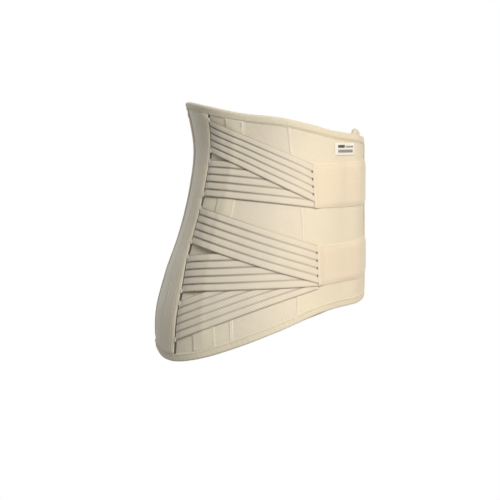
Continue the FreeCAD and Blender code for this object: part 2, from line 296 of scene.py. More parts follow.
def pad_bulge(angle, z):
    """The lining bulges towards the spine over the lumbar pad."""
    across = 1 - ease(np.abs(angle), 18, 36)
    up = ease(z, PAD_BOTTOM - 12, PAD_BOTTOM + 14) * (1 - ease(z, PAD_TOP - 14, PAD_TOP + 12))
    return PAD_THICKNESS * across * up


# ---------------------------------------------------------------- meshes

def mesh_of(name, points, faces, uv, material):
    """A mesh object from points and one uv pair for each, in millimetres. material is a key
    of MATERIALS."""
    mesh = bpy.data.meshes.new(name)
    mesh.from_pydata((np.asarray(points) / 1000).tolist(), [], [list(map(int, f)) for f in faces])
    layer = mesh.uv_layers.new(name="weave")
    corners = np.empty(len(mesh.loops), int)
    mesh.loops.foreach_get("vertex_index", corners)
    layer.data.foreach_set("uv", np.asarray(uv, float)[corners].ravel())
    bm = bmesh.new()
    bm.from_mesh(mesh)
    bmesh.ops.recalc_face_normals(bm, faces=bm.faces)
    bm.to_mesh(mesh)
    bm.free()
    mesh.polygons.foreach_set("use_smooth", [True] * len(mesh.polygons))
    mesh.materials.append(MATERIALS[material])
    piece = bpy.data.objects.new(name, mesh)
    bpy.context.scene.collection.objects.link(piece)
    return piece


def shares(count, corner=0.0):
    """Places from 0 to 1, with a narrow first and last step for the rolled edges."""
    edge = 0.006
    flat = 1 - corner
    places = list(np.linspace(edge, flat - (0 if corner else edge), count - 2))
    if corner:
        places += [flat + corner * math.sin(QUARTER_TURN * k / 9) for k in range(1, 10)]
    else:
        places.append(1.0)
    return np.array([0.0] + places)


def cloth(name, side, edges, outer, inner, material, columns=40, rows=60, corner=0.0,
          extra=no_lift):
    """A closed sheet of cloth between four edges: back and front give an angle from a height,
    and bottom and top a height from an angle."""
    sign = SIDES[side]
    back, front, bottom, top = edges
    s = shares(columns, corner)[:, None]
    t = shares(rows)[None, :]
    angle = np.full((s.size, t.size), float(back(0) + front(0)) / 2)
    z = np.zeros_like(angle)
    for _ in range(8):
        z = bottom(angle) + t * (top(angle) - bottom(angle))
        angle = back(z) + s * (front(z) - back(z))
    over = (outer(angle, z) if callable(outer) else outer) + extra(angle) + 0 * z
    under = (inner(angle, z) if callable(inner) else inner) + extra(angle) + 0 * z
    rolled = np.ones_like(z)
    rolled[1:-1, 1:-1] = 0
    roll = 0.3 * (over - under) * rolled
    high = place(sign * angle, z, over - roll)
    low = place(sign * angle, z, under + roll)
    uv = np.stack([running(high), z], -1)
    n, m = z.shape
    index = np.arange(n * m).reshape(n, m)
    quads = np.stack([index[:-1, :-1], index[1:, :-1], index[1:, 1:], index[:-1, 1:]], -1)
    quads = quads.reshape(-1, 4)
    faces = [*quads, *(quads[:, ::-1] + n * m)]
    ring = np.concatenate([index[:, 0], index[-1, 1:], index[-2::-1, -1], index[0, -2:0:-1]])
    for a, b in zip(ring, np.roll(ring, -1)):
        faces.append((a, b, b + n * m, a + n * m))
    points = np.concatenate([high.reshape(-1, 3), low.reshape(-1, 3)])
    return mesh_of(name, points, faces, np.concatenate([uv.reshape(-1, 2)] * 2), material)


def tube(name, rings, uv, material):
    """A closed mesh through rings of points: an array of stations by ring points."""
    n, m = rings.shape[:2]
    index = np.arange(n * m).reshape(n, m)
    beside = np.roll(index, -1, axis=1)
    quads = np.stack([index[:-1], index[1:], beside[1:], beside[:-1]], -1).reshape(-1, 4)
    faces = [*quads, index[0][::-1], index[-1]]
    piece = mesh_of(name, rings.reshape(-1, 3), faces, uv.reshape(-1, 2), material)
    ends = np.empty(len(piece.data.edges) * 2, int)
    piece.data.edges.foreach_get("vertices", ends)
    ends = ends.reshape(-1, 2)
    for k in np.flatnonzero((ends.max(1) < m) | (ends.min(1) >= (n - 1) * m)):
        piece.data.edges[int(k)].use_edge_sharp = True
    return piece


def join(name, pieces):
    """Several mesh objects as one."""
    bm = bmesh.new()
    mesh = bpy.data.meshes.new(name)
    materials = []
    for piece in pieces:
        before = len(bm.faces)
        bm.from_mesh(piece.data)
        bm.faces.ensure_lookup_table()
        material = piece.data.materials[0]
        if material not in materials:
            materials.append(material)
        for face in bm.faces[before:]:
            face.material_index = materials.index(material)
    bm.to_mesh(mesh)
    bm.free()
    for material in materials:
        mesh.materials.append(material)
    for piece in pieces:
        old = piece.data
        bpy.data.objects.remove(piece)
        bpy.data.meshes.remove(old)
    joined = bpy.data.objects.new(name, mesh)
    bpy.context.scene.collection.objects.link(joined)
    return joined


# ---------------------------------------------------------------- material nodes

class Nodes:
    """A few short ways to build a material's node tree."""

    def __init__(self, name):
        self.material = bpy.data.materials.new(name)
        self.material.use_nodes = True
        self.tree = self.material.node_tree
        self.shader = self.tree.nodes["Principled BSDF"]

    def link(self, source, target):
        self.tree.links.new(source, target)

    def add(self, kind, **values):
        node = self.tree.nodes.new(kind)
        for key, value in values.items():
            setattr(node, key, value)
        return node

    def math(self, operation, a, b=0.0, c=0.0):
        node = self.add("ShaderNodeMath", operation=operation)
        for socket, value in zip(node.inputs, (a, b, c)):
            if isinstance(value, (int, float)):
                socket.default_value = value
            else:
                self.link(value, socket)
        return node.outputs[0]

    def uv(self):
        """The distances along and across the cloth, in millimetres."""
        split = self.add("ShaderNodeSeparateXYZ")
        self.link(self.add("ShaderNodeUVMap", uv_map="weave").outputs[0], split.inputs[0])
        return split.outputs[0], split.outputs[1]

    def noise(self, scale, detail=3.0, roughness=0.6, stretch=(1, 1, 1)):
        """Noise in the object's own space. scale is in waves for each metre."""
        mapping = self.add("ShaderNodeMapping")
        mapping.inputs["Scale"].default_value = stretch
        self.link(self.add("ShaderNodeTexCoord").outputs["Object"], mapping.inputs[0])
        node = self.add("ShaderNodeTexNoise")
        node.inputs["Scale"].default_value = scale
        node.inputs["Detail"].default_value = detail
        node.inputs["Roughness"].default_value = roughness
        self.link(mapping.outputs[0], node.inputs["Vector"])
        return node.outputs["Fac"]

    def mix(self, share, low, high):
        """Two colours, or one with another socket's, mixed by a share."""
        node = self.add("ShaderNodeMix", data_type="RGBA")
        self.link(share, node.inputs[0])
        for socket, value in ((node.inputs[6], low), (node.inputs[7], high)):
            if isinstance(value, (tuple, list)):
                socket.default_value = (*value, 1)
            else:
                self.link(value, socket)
        return node.outputs[2]

    def ramp(self, value, low, high):
        """0 at low, 1 at high, and a straight line between."""
        node = self.add("ShaderNodeMapRange")
        node.inputs["From Min"].default_value = low
        node.inputs["From Max"].default_value = high
        self.link(value, node.inputs[0])
        return node.outputs[0]

    def dye(self, share, low, high):
        """The surface's colour, mixed from two by a share."""
        self.link(self.mix(share, low, high), self.shader.inputs["Base Color"])

    def roughen(self, share, low, high):
        """The surface's roughness, from a share by a straight line."""
        self.link(self.ramp(share, low, high), self.shader.inputs["Roughness"])

    def bump(self, heights):
        """Bumps on top of each other: pairs of a height and its depth in millimetres."""
        normal = None
        for height, depth in heights:
            node = self.add("ShaderNodeBump")
            node.inputs["Distance"].default_value = depth / 1000
            self.link(height, node.inputs["Height"])
            if normal is not None:
                self.link(normal, node.inputs["Normal"])
            normal = node.outputs[0]
        self.link(normal, self.shader.inputs["Normal"])

    def set(self, **values):
        for key, value in values.items():
            self.shader.inputs[key.replace("_", " ")].default_value = value


def tint(colour, factor):
    return tuple(c * factor for c in colour)


def threads(nodes, u, v, pitch, kind):
    """The height of a weave or knit at a place, from 0 to 1."""
    a = nodes.math("MULTIPLY", u, math.pi / pitch)
    b = nodes.math("MULTIPLY", v, math.pi / pitch)
    if kind == "knit":
        # Columns of loops: each leg leans to its column's middle.
        lean = nodes.math("ABSOLUTE", nodes.math("SINE", a))
        loops = nodes.math("SINE", nodes.math("ADD", nodes.math("MULTIPLY", b, 2.0),
                                              nodes.math("MULTIPLY", lean, 2.4)))
        rounded = nodes.math("POWER", lean, 0.6)
        return nodes.math("MULTIPLY", rounded, nodes.math("MULTIPLY_ADD", loops, 0.3, 0.7))
    if kind == "twill":
        slant = nodes.math("SINE", nodes.math("ADD", a, b))
        cross = nodes.math("SINE", nodes.math("MULTIPLY", nodes.math("SUBTRACT", b, a), 0.5))
        return nodes.math("MULTIPLY_ADD", nodes.math("MULTIPLY", slant, cross), 0.25,
                          nodes.math("MULTIPLY_ADD", slant, 0.25, 0.5))
    over = nodes.math("MULTIPLY", nodes.math("SINE", a), nodes.math("SINE", b))
    return nodes.math("MULTIPLY_ADD", over, 0.5, 0.5)


def fabric(name, colour, kind, pitch, depth, sheen=0.25, fuzz=0.05, mottle=0.06):
    """Cloth: a weave with painted shade in its hollows, a soft mottle, loose fibres and a dusty sheen.
    """
    nodes = Nodes(name)
    u, v = nodes.uv()
    weave = threads(nodes, u, v, pitch, kind)
    blotches = nodes.noise(28, 4)
    fibres = nodes.noise(1800, 2, 0.7, (1, 1, 0.45))
    lit = nodes.mix(nodes.ramp(blotches, 0.3, 0.7), tint(colour, 1 - mottle),
                    tint(colour, 1 + mottle * 0.6))
    # Painted shade: the weave's hollows are darkened to 0.8 of the colour.
    weave_hollow_shade = nodes.mix(nodes.ramp(weave, 0.0, 0.55), tint(colour, 0.80), lit)
    brushed = nodes.ramp(nodes.noise(430, 3, 0.65, (1, 1, 0.5)), 0.38, 0.66)
    worn = nodes.mix(brushed, tint(colour, 0.93), weave_hollow_shade)
    nodes.dye(nodes.ramp(fibres, 0.35, 0.75), worn, tint(colour, 1.08))
    nodes.roughen(blotches, -1.5, 1.2)
    nodes.bump([(weave, depth), (fibres, fuzz), (nodes.noise(160, 3), 0.25)])
    nodes.set(Sheen_Weight=sheen, Sheen_Roughness=0.45, Specular_IOR_Level=0.25)
    return nodes.material


def strap_material():
    """Ribbed elastic: five raised ribs with a slanting weave, painted highlights on that weave, and
    painted shade in the grooves between.
    """
    nodes = Nodes("elastic_strap")
    u, v = nodes.uv()
    # Painted shade: the grooves between the ribs are darkened to a near black brown, unevenly, and less
    # towards the front.
    groove = nodes.math("PINGPONG", v, RIB_PITCH / 2)
    groove_shade = nodes.math("POWER", nodes.ramp(groove, 1.8, 0.35), 1.2)
    uneven = nodes.ramp(nodes.noise(70, 3, 0.6), 0.3, 0.7)
    groove_shade = nodes.math("MULTIPLY", groove_shade, nodes.math("MULTIPLY_ADD", uneven, 0.35, 0.65))
    groove_shade_fade = nodes.ramp(nodes.math("ADD", u, nodes.math("MULTIPLY", uneven, 30.0)), 35, 125)
    groove_shade = nodes.math("MULTIPLY", groove_shade, nodes.math("MULTIPLY_ADD", groove_shade_fade, -0.6, 1.0))
    twill = threads(nodes, u, v, 1.5, "twill")
    fibres = nodes.noise(1500, 2, 0.7)
    blotches = nodes.noise(45, 3)
    colour = (0.82, 0.735, 0.595)
    # Painted highlight and shade: the twill's raised threads are lightened to 1.14 of the colour, and
    # its low threads darkened to 0.80.
    lit = nodes.mix(nodes.ramp(twill, 0.1, 0.75), tint(colour, 0.80), tint(colour, 1.14))
    lit = nodes.mix(nodes.ramp(blotches, 0.35, 0.75), lit, tint(colour, 0.95))
    nodes.dye(groove_shade, lit, (0.195, 0.16, 0.115))
    nodes.roughen(twill, -2.2, 1.6)
    nodes.bump([(twill, 0.14), (fibres, 0.04)])
    nodes.set(Sheen_Weight=0.2, Sheen_Roughness=0.4, Specular_IOR_Level=0.35)
    return nodes.material


def thread_material(name, colour):
    """Twisted sewing thread, with painted shade in the grooves of its twist."""
    nodes = Nodes(name)
    u, v = nodes.uv()
    twist = nodes.math("SINE", nodes.math("MULTIPLY", nodes.math("ADD", u, v), 9.0))
    share = nodes.math("MULTIPLY_ADD", twist, 0.5, 0.5)
    # Painted shade: the low parts of the twist are darkened to 0.86 of the colour.
    nodes.dye(share, tint(colour, 0.86), colour)
    nodes.bump([(share, 0.04)])
    nodes.set(Roughness=0.55, Sheen_Weight=0.2)
    return nodes.material


def hook_material():
    """Moulded hook tape: rows of small hooks on a woven base, with painted shade on the base between
    the hooks.
    """
    nodes = Nodes("hook_tape")
    u, v = nodes.uv()
    a = nodes.math("ABSOLUTE", nodes.math("SINE", nodes.math("MULTIPLY", u, math.pi / 1.3)))
    b = nodes.math("ABSOLUTE", nodes.math("SINE", nodes.math("MULTIPLY", v, math.pi / 1.6)))
    hooks = nodes.math("POWER", nodes.math("MULTIPLY", a, b), 1.6)
    # Painted shade: the base between the hooks is darker, and the hook tops are lighter.
    nodes.dye(nodes.ramp(hooks, 0.1, 0.6), (0.55, 0.49, 0.39), (0.80, 0.74, 0.62))
    nodes.bump([(hooks, 0.5), (nodes.noise(900), 0.05)])
    nodes.set(Roughness=0.42, Specular_IOR_Level=0.5)
    return nodes.material


def steel_material():
    nodes = Nodes("spring_steel")
    streaks = nodes.noise(900, 3, 0.6, (1, 1, 0.03))
    nodes.dye(nodes.ramp(streaks, 0.3, 0.7), (0.42, 0.42, 0.44), (0.62, 0.62, 0.64))
    nodes.roughen(streaks, -0.4, 1.9)
    nodes.bump([(streaks, 0.01)])
    nodes.set(Metallic=1.0)
    return nodes.material


def plastic_material():
    nodes = Nodes("stay_plastic")
    grain = nodes.noise(1400, 3)
    nodes.dye(nodes.ramp(grain, 0.3, 0.7), (0.78, 0.78, 0.74), (0.86, 0.86, 0.82))
    nodes.bump([(grain, 0.02)])
    nodes.set(Roughness=0.45)
    return nodes.material


LABEL_WEAVE = ("twill", 0.35, 0.03, 0.1, 0.02)
CREAM = (0.845, 0.765, 0.60)
MATERIALS = {
    "panel": fabric("panel_fabric", CREAM, "plain", 0.62, 0.07),
    "gusset": fabric("gusset_knit", (0.845, 0.755, 0.61), "knit", 0.95, 0.12),
    "lining": fabric("lining_knit", (0.83, 0.745, 0.60), "knit", 0.8, 0.08, 0.15),
    "tab": fabric("tab_fabric", (0.865, 0.755, 0.58), "plain", 0.5, 0.04, 0.4, 0.07),
    "binding": fabric("elastic_binding", (0.835, 0.755, 0.585), "knit", 1.1, 0.14, 0.3),
    "tape": fabric("woven_tape", (0.80, 0.71, 0.56), "twill", 0.75, 0.12),
    "flatlock": fabric("flatlock_seam", (0.90, 0.825, 0.68), "twill", 1.4, 0.15, 0.3),
    "loop": fabric("loop_pile", (0.80, 0.70, 0.54), "plain", 0.9, 0.2, 0.6, 0.3),
    "foam": fabric("foam_core", (0.84, 0.80, 0.66), "plain", 1.6, 0.15, 0.0, 0.3),
    "strap": strap_material(),
    "thread": thread_material("thread_cream", (0.82, 0.74, 0.585)),
    "tack": thread_material("thread_light", (0.93, 0.89, 0.80)),
    # Painted shade: the near black cloth of the strip along the strap seam.
    "painted_seam_shade": thread_material("dark_seam_shade", (0.13, 0.11, 0.09)),
    # Painted shade: the dark brown of the dots where the strap grooves end.
    "painted_rib_end_shade": thread_material("dark_rib_end_shade", (0.18, 0.14, 0.095)),
    "hook": hook_material(),
    "steel": steel_material(),
    "plastic": plastic_material(),
    "label": fabric("label_satin", (0.90, 0.89, 0.85), *LABEL_WEAVE, 0.02),
    "label_dark": fabric("label_dark", (0.10, 0.095, 0.10), *LABEL_WEAVE, 0.1),
    "label_grey": fabric("label_grey", (0.33, 0.30, 0.27), *LABEL_WEAVE, 0.1),
}


def rides(piece, bodies, replaced=()):
    """Puts a finished piece on its body; a piece that spans the back and a front panel is only baked in
    place, not bent.
    """
    if len(bodies) == 1:
        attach(piece, bodies[0])
    else:
        side = bodies[1].split("_")[0]
        sign = SIDES[side]
        middle = hinge_angle(-70.0)
        start = place(sign * (middle - BLEND_DEGREES), -70, 3)
        end = place(sign * (middle + BLEND_DEGREES), -70, 3)
        start[2] = end[2]
        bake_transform(piece)
    if replaced:
        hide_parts(*replaced)
    return piece


# ---------------------------------------------------------------- stitches

def stitch_template(length, radius, sides=6):
    """One stitch: a thread that dives into the cloth at both ends. Along, across, up."""
    stations = [(-0.5, -1.5, 0.5), (-0.42, -0.2, 0.8), (-0.2, 0.45, 1.0), (0.2, 0.45, 1.0),
                (0.42, -0.2, 0.8), (0.5, -1.5, 0.5)]
    points = []
    for along, up, size in stations:
        for a in np.arange(sides) * 2 * math.pi / sides:
            points.append((along * length, math.cos(a) * radius * size,
                           radius * (up + math.sin(a) * size)))
    faces = []
    for i in range(len(stations) - 1):
        for k in range(sides):
            j = (k + 1) % sides
            faces.append((i * sides + k, i * sides + j, (i + 1) * sides + j, (i + 1) * sides + k))
    faces.append(tuple(range(sides)))
    faces.append(tuple(range(len(points) - sides, len(points))))
    return np.array(points), faces


def sew(name, rows, material, length=2.3, radius=0.24):
    """Stitches at places: rows are (centres, directions, normals), each an array of points."""
    template, template_faces = stitch_template(length, radius)
    centres = np.concatenate([r[0] for r in rows])
    along = unit(np.concatenate([r[1] for r in rows]))
    up = np.concatenate([r[2] for r in rows])
    across = unit(np.cross(up, along))
    up = np.cross(along, across)
    points = (centres[:, None] + template[None, :, :1] * along[:, None]
              + template[None, :, 1:2] * across[:, None] + template[None, :, 2:] * up[:, None])
    faces = []
    for k in range(len(centres)):
        base = k * len(template)
        faces += [[base + i for i in face] for face in template_faces]
    uv = np.tile(template[:, :2], (len(centres), 1))
    return mesh_of(name, points.reshape(-1, 3), faces, uv, material)


def along_line(at, walked, line):
    """The points of a line at walked distances."""
    return np.stack([np.interp(at, walked, line[:, k]) for k in range(3)], -1)


def seam_places(side, angles, heights, depth, pitch=3.1, extra=no_lift):
    """Evenly spaced stitch places along a line on the belt."""
    sign = SIDES[side]
    fine = np.linspace(0, 1, 400)
    knots = np.linspace(0, 1, len(angles))
    angle = np.interp(fine, knots, angles)
    z = np.interp(fine, knots, heights)
    level = depth(angle, z) if callable(depth) else depth
    line = place(sign * angle, z, level + extra(angle))
    walked = running(line)
    count = max(2, int(walked[-1] / pitch))
    at = (np.arange(count) + 0.5) * walked[-1] / count
    ahead = along_line(at + 0.4, walked, line) - along_line(at - 0.4, walked, line)
    up = outward(sign * np.interp(at, walked, angle), np.interp(at, walked, z))
    return along_line(at, walked, line), ahead, up


def upright(side, line, low, high, depth, step=0.0):
    """Stitch places along an upright seam."""
    z = np.linspace(low, high, 60)
    return seam_places(side, line(z) + math.degrees(step / SIDE_RADIUS), z, depth)


def seam_ends(line, low_gap, high_gap, low_guess=-200.0, high_guess=30.0):
    """The heights of an upright line's ends, some millimetres inside the bindings."""
    low = float(bottom_edge(line(low_guess))) + BINDING_REACH + low_gap
    return low, float(top_edge(line(high_guess))) - BINDING_REACH - high_gap


def bartack(side, angle, z, depth, tall):
    """Stitch places of a bartack: a short, dense column of cross stitches."""
    sign = SIDES[side]
    heights = z + np.linspace(-tall / 2, tall / 2, int(tall / 0.55))
    angles = np.full_like(heights, angle)
    spots = place(sign * angles, heights, depth)
    ahead = unit(skin(sign * angles + 0.5, heights) - skin(sign * angles - 0.5, heights))
    zigzag = np.where(np.arange(len(heights)) % 2, 0.12, -0.12)[:, None]
    return spots, ahead + zigzag * np.array([0, 0, 1.0]), outward(sign * angles, heights)


# ---------------------------------------------------------------- shared shapes

def stay_ridge(angle, z):
    """The shell rises a little over each stay."""
    arc = arc_of(angle, z)
    side = arc_of(seam(SIDE_CHANNEL, SIDE_CHANNEL_WIDTH / 2)(z), z)
    centres = [*BACK_STAY_ARCS, side]
    ends = ease(z, bottom_edge(angle) + 8, bottom_edge(angle) + 22)
    ends = ends * (1 - ease(z, top_edge(angle) - 22, top_edge(angle) - 8))
    return 0.7 * ends * sum(np.exp(-(((arc - c) / 5.0) ** 2)) for c in centres)


def fixed(value):
    """An edge that stays at one angle or height."""
    return lambda x: value + 0 * x


def at_arc(arc):
    """An upright line at a distance along the cloth from the middle of the back."""
    return lambda z: angle_at(arc, z)


def low_edge(inset):
    return lambda angle: bottom_edge(angle) + inset


def high_edge(inset):
    return lambda angle: top_edge(angle) - inset


SHELL_EDGES = low_edge(EDGE_INSET), high_edge(EDGE_INSET)
UNDER_BINDINGS = low_edge(BINDING_REACH - 1), high_edge(BINDING_REACH - 1)


def over(layer):
    """An offset that follows the ridges of the stays."""
    return lambda angle, z: layer + stay_ridge(angle, z)


def tape(name, side, edges, top, material, columns, rows=110, under=SEWN_UNDER):
    """A strip sewn on to the shell, from binding to binding."""
    return cloth(name, side, (*edges, *UNDER_BINDINGS), over(top), over(under), material,
                 columns, rows)


def flat_size(piece):
    """The size and area that a closed sheet was cut to, from its own mesh, in metres."""
    mesh = piece.data
    u = np.empty(len(mesh.loops) * 2)
    mesh.uv_layers["weave"].data.foreach_get("uv", u)
    spread = np.ptp(u.reshape(-1, 2), axis=0) / 1000
    area = sum(face.area for face in mesh.polygons) / 2
    return spread, min(area, spread[0] * spread[1])


def declare_sheet(piece):
    size, area = flat_size(piece)
    return piece


STITCHES = {"back": [], "right_front": [], "left_front": []}
TACKS = {"back": [], "right_front": [], "left_front": []}
RIB_END_SHADE_DOTS = {"right_front": [], "left_front": []}
CORNERS = []


# ---------------------------------------------------------------- the back

def make_back():
    """The back panel and its lining."""
    edge = seam(STRAP_SEAM)
    edges = (lambda z: -edge(z)), edge, *SHELL_EDGES
    shell = cloth("back_panel_cloth", "right", edges, over(SHELL[1]), over(SHELL[0]), "panel",
                  110, 90)
    rides(declare_sheet(shell), ["back"], ["back_panel"])
    lining = cloth("back_lining_cloth", "right", edges, lambda a, z: LINING[1] - pad_bulge(a, z),
                   lambda a, z: LINING[0] - pad_bulge(a, z), "lining", 110, 90)
    rides(declare_sheet(lining), ["back"], ["back_lining"])


def make_channel(side, arc, node):
    """A tape sewn over a stay, with a row of stitches along each edge."""
    half = CHANNEL_WIDTH / 2
    edges = at_arc(arc - half), at_arc(arc + half)
    rides(tape(node + "_tape", side, edges, CHANNEL_TOP, "tape", 12), ["back"], [node])
    low, high = seam_ends(at_arc(arc), 2, 2, high_guess=50.0)
    for shift in (-half + 1.8, half - 1.8):
        STITCHES["back"].append(upright(side, at_arc(arc + shift), low, high, over(CHANNEL_TOP)))
    for z in (low + 3, high - 3):
        for shift in (-3.5, 0, 3.5):
            level = over(CHANNEL_TOP + 0.1)(angle_at(arc, z), z)
            TACKS["back"].append(bartack(side, float(angle_at(arc + shift, z)), z, level, 4.5))


def make_lumbar_pad():
    """A soft foam pad between the back panel and its lining."""
    edges = (at_arc(-PAD_HALF_WIDTH), at_arc(PAD_HALF_WIDTH), fixed(PAD_BOTTOM + 2),
             fixed(PAD_TOP - 2))
    piece = cloth("lumbar_pad_foam", "right", edges, 0.6, lambda a, z: 1.9 - pad_bulge(a, z),
                  "foam", 30, 34)
    puff(piece, voxel=4.5, cap=1.0)
    rides(piece, ["back"], ["lumbar_pad"])


def puff(piece, voxel, cap):
    """Swells a closed piece as cloth under pressure, and caps how far each point may move."""
    bpy.context.view_layer.objects.active = piece
    remesh = piece.modifiers.new("remesh", "REMESH")
    remesh.mode = "VOXEL"
    remesh.voxel_size = voxel / 1000
    remesh.use_smooth_shade = True
    bake_modifiers(piece)
    before = positions(piece.data)
    swell = piece.modifiers.new("swell", "CLOTH")
    swell.settings.use_pressure = True
    swell.settings.uniform_pressure_force = 4
    swell.settings.effector_weights.gravity = 0
    scene = bpy.context.scene
    swell_frames = 20
    for step in range(1, swell_frames + 1):
        scene.frame_set(step)
    bake_modifiers(piece)
    moved = positions(piece.data) - before
    far = np.linalg.norm(moved, axis=1, keepdims=True)
    moved *= np.minimum(1, cap / 1000 / np.maximum(far, 1e-9))
    piece.data.vertices.foreach_set("co", (before + moved).ravel())
    piece.data.update()
    scene.frame_set(1)
    uv = piece.data.uv_layers.new(name="weave")
    corners = np.empty(len(piece.data.loops), int)
    piece.data.loops.foreach_get("vertex_index", corners)
    uv.data.foreach_set("uv", (before[corners][:, [0, 2]] * 1000).ravel())
    rounder = piece.modifiers.new("rounder", "SUBSURF")
    rounder.levels = 1
    bake_modifiers(piece)


def positions(mesh):
    co = np.empty(len(mesh.vertices) * 3)
    mesh.vertices.foreach_get("co", co)
    return co.reshape(-1, 3)


def bake_modifiers(piece):
    """Replaces a piece's mesh with what its modifiers make of it."""
    graph = bpy.context.evaluated_depsgraph_get()
    graph.update()
    baked = bpy.data.meshes.new_from_object(piece.evaluated_get(graph))
    old = piece.data
    piece.modifiers.clear()
    piece.data = baked
    bpy.data.meshes.remove(old)


# ---------------------------------------------------------------- the sides

def make_side(side):
    """The side panel, the gusset, their lining, and the seams between them."""
    strap_seam, gusset_back, gusset_front = seam(STRAP_SEAM), seam(GUSSET_BACK), seam(GUSSET_FRONT)
    shapes = {
        "side_panel": (strap_seam, gusset_back, "panel", "panel_fabric"),
        "side_gusset": (gusset_back, gusset_front, "gusset", "gusset_knit"),
    }
    for node, (back, front, material, slot) in shapes.items():
        piece = cloth(node + "_cloth_" + side, side, (back, front, *SHELL_EDGES), over(SHELL[1]),
                      over(SHELL[0]), material, 40, 90)
        rides(declare_sheet(piece), ["back"], [node + "_" + side])
    lining = cloth("side_lining_cloth_" + side, side, (strap_seam, gusset_front, *SHELL_EDGES),
                   LINING[1], LINING[0], "lining", 60, 80)
    rides(declare_sheet(lining), ["back"], ["side_lining_" + side])
    make_side_channel(side)
    make_anchor(side)
    for name, rows, line in (("back", GUSSET_BACK, gusset_back), ("front", GUSSET_FRONT, gusset_front)):
        edges = seam(rows, -1.6), seam(rows, 1.6)
        flatlock = tape(f"gusset_{name}_flatlock_{side}", side, edges, FLATLOCK[1], "flatlock",
                        7, 140, FLATLOCK[0])
        rides(flatlock, ["back"])
        level = over(FLATLOCK[1] + 0.02)
        for step in (-0.9, 0.9):
            STITCHES["back"].append(upright(side, line, *seam_ends(line, 0, -1), level, step))


def make_side_channel(side):
    """The tape over the side stay, with a row of stitches along each edge."""
    width = SIDE_CHANNEL_WIDTH
    edges = seam(SIDE_CHANNEL), seam(SIDE_CHANNEL, width)
    piece = tape("side_stay_channel_tape_" + side, side, edges, SIDE_CHANNEL_TOP, "panel", 12)
    rides(piece, ["back"], ["side_stay_channel_" + side])
    for step in (1.6, width - 1.6):
        line = seam(SIDE_CHANNEL, step)
        low, high = seam_ends(line, 1, 1)
        level = over(SIDE_CHANNEL_TOP + 0.05)
        STITCHES["back"].append(upright(side, line, low, high, level))
        for z in (low + 2, high - 2):
            TACKS["back"].append(bartack(side, float(line(z)), z, level(line(z), z), 4))


def make_anchor(side):
    """The folded edge of the back panel, which holds the back ends of the straps, and a dark strip of
    painted shade along the strap seam.
    """
    edges = (seam(STRAP_SEAM, -22), seam(STRAP_SEAM, -0.5), *UNDER_BINDINGS)
    piece = cloth("strap_anchor_tape_cloth_" + side, side, edges, anchor_top, 3.5,
                  "panel", 16, 110)
    rides(piece, ["back"], ["strap_anchor_tape_" + side])
    # Painted shade: a near black strip along the strap seam stands in for the shadow line there.
    edges = seam(STRAP_SEAM, -0.9), seam(STRAP_SEAM, 2.0)
    rides(tape("strap_seam_shade_strip_" + side, side, edges, SEAM_SHADE_TOP, "painted_seam_shade", 6, 160), ["back"])
    for step in (-20, -6.5, -3):
        line = seam(STRAP_SEAM, step)
        STITCHES["back"].append(upright(side, line, *seam_ends(line, 1, 1),
                                        lambda a, z: anchor_top(a, z) + 0.05))


def anchor_top(angle, z):
    """The tape swells over the turned edge of the panel, and thins towards the straps."""
    behind = (smooth(STRAP_SEAM, z) - angle) * math.radians(SIDE_RADIUS)
    return 4.4 + 0.55 * ease(behind, 0, 3) * (1 - ease(behind, 3, 16)) + 0.1 * np.cos(behind * 1.9)


# ---------------------------------------------------------------- the straps

def strap_edge(back_z, front_z):
    """A strap's edge runs straight when the belt is seen from the side."""
    y_back = skin(smooth(STRAP_SEAM, back_z), back_z)[1]
    y_front = skin(hinge_angle(front_z), front_z)[1]

    def height(angle):
        z = 0 * angle + back_z
        for _ in range(4):
            share = (y_back - skin(angle, z)[..., 1]) / (y_back - y_front)
            z = back_z + (front_z - back_z) * share
        return z

    return height


def rib_profile():
    """Across a strap: distances from its lower edge, and heights. The top runs over the five
    ribs, and the flat underside runs back."""
    across = []
    for rib in range(RIBS):
        for step in (0, 0.5, 0.95, 1.6, 2.7, 4, 5.3, 6.4, 7.05, 7.5):
            across.append(rib * RIB_PITCH + step)
    across.append(STRAP_WIDTH)
    across = np.array(across)
    from_crest = np.abs(across % RIB_PITCH - RIB_PITCH / 2) / (RIB_PITCH / 2)
    high = 0.4 + 1.0 * (1 - from_crest ** 5)
    under = np.linspace(STRAP_WIDTH, 0, 7)
    return np.concatenate([across, under]), np.concatenate([high, 0 * under])


